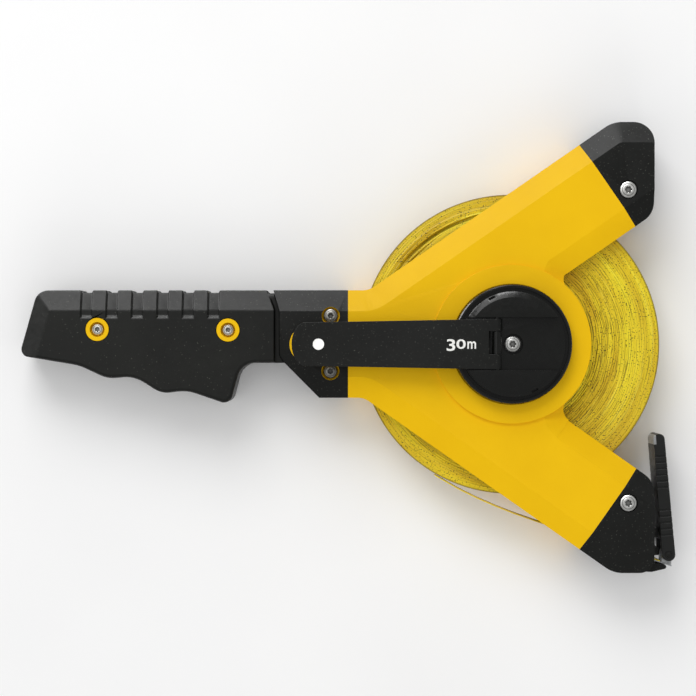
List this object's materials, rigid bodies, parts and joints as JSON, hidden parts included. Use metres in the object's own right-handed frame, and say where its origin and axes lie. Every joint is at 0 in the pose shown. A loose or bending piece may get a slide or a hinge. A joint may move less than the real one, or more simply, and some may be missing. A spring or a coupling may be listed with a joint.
{
  "type": "tape reel",
  "caption": "Open-frame surveyor tape reel with a moulded forked frame, pistol-style hand grip, folding winding crank and ribbed end hook.",
  "frame": {"origin": "hub axis at the flat rear face, which lies on the table", "axes": "+Z along the hub axis towards the crank, +X from the handle to the tape mouth, +Y towards the upper arm"},
  "size_m": [0.329, 0.2265, 0.0495],
  "materials": {
    "front_shell": "satin moulded",
    "rear_shell": "satin moulded",
    "grip_front": "soft, fine grain",
    "grip_rear": "soft, fine grain",
    "collar_front": "fine grain",
    "collar_rear": "fine grain",
    "upper_cap": "fine grain",
    "lower_cap": "fine grain",
    "spindle": "turned",
    "drum_core": "moulded",
    "wound_tape": "coated fibreglass, wound",
    "tape_run": "coated fibreglass",
    "crank_disc": "satin",
    "disc_screw": "zinc plated",
    "hinge_pin": "drawn",
    "crank_arm": "fine grain",
    "knob_rivet": "polished",
    "knob": "satin",
    "grip_screws": "zinc plated",
    "collar_screws": "zinc plated",
    "cap_screws": "zinc plated",
    "end_clip": "pressed",
    "hook_pin": "drawn",
    "hook_lever": "ribbed",
    "hook_tip": "pressed",
    "hook_catch": "moulded"
  },
  "bodies": {
    "frame": {"front_shell": "front_shell", "rear_shell": "rear_shell", "grip_front": "grip_front", "grip_rear": "grip_rear", "collar_front": "collar_front", "collar_rear": "collar_rear", "upper_cap": "upper_cap", "lower_cap": "lower_cap", "spindle": "spindle", "tape_run": "tape_run", "grip_screws": "grip_screws", "collar_screws": "collar_screws", "cap_screws": "cap_screws", "end_clip": "end_clip", "hook_pin": "hook_pin", "hook_catch": "hook_catch"},
    "drum": {"drum_core": "drum_core", "wound_tape": "wound_tape", "crank_disc": "crank_disc", "disc_screw": "disc_screw", "hinge_pin": "hinge_pin"},
    "crank": {"crank_arm": "crank_arm", "knob_rivet": "knob_rivet"},
    "knob": {"knob": "knob"},
    "hook": {"hook_lever": "hook_lever", "hook_tip": "hook_tip"}
  },
  "joints": [
    {"name": "drum_spin", "type": "hinge", "parent": "frame", "child": "drum", "pos_m": [0, 0, 0.018], "axis": [0, 0, 1], "continuous": true},
    {"name": "crank_fold", "type": "hinge", "parent": "drum", "child": "crank", "pos_m": [-0.008, 0, 0.04725], "axis": [0, 1, 0], "range_deg": [0, 180]},
    {"name": "knob_spin", "type": "hinge", "parent": "crank", "child": "knob", "pos_m": [-0.0964, 0, 0.04], "axis": [0, 0, 1], "continuous": true},
    {"name": "hook_swing", "type": "hinge", "parent": "frame", "child": "hook", "pos_m": [0.0797, -0.1059, 0.018], "axis": [0, 0, -1], "range_deg": [0, 110]}
  ]
}
